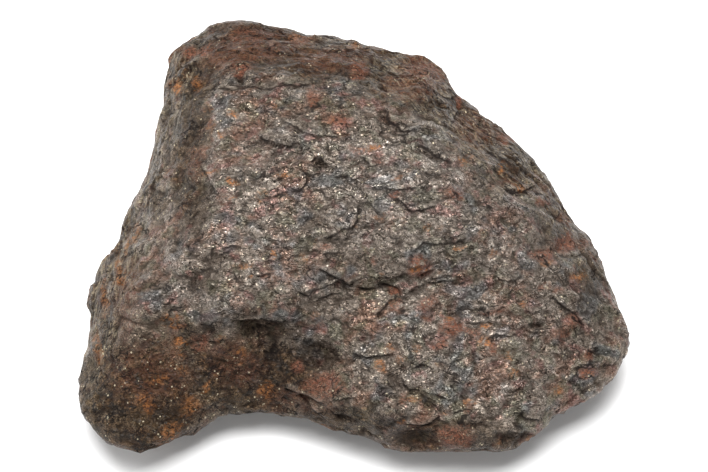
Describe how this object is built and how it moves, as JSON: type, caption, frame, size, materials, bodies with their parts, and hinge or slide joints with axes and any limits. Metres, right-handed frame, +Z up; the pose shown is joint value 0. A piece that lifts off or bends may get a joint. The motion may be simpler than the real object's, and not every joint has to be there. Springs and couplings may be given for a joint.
{
  "type": "iron meteorite",
  "caption": "Weathered iron meteorite, a thick three-cornered lump with a broad sloping face, a steep flank and a rusty hollow beside a buttress; rests on a small flat spot",
  "frame": {"origin": "on the table, under the middle of the stone's box; the flat spot it rests on lies in the plane z = 0", "axes": "+X to the right along its longest extent, +Y away from the viewer, +Z up, which is its shortest extent"},
  "size_m": [0.075, 0.0678, 0.0256],
  "materials": {
    "weathered_iron": "rough weathered crust, dark grey-brown with rust, slightly shiny on the raised grain"
  },
  "bodies": {
    "root": {"meteorite": "weathered_iron"}
  },
  "joints": []
}
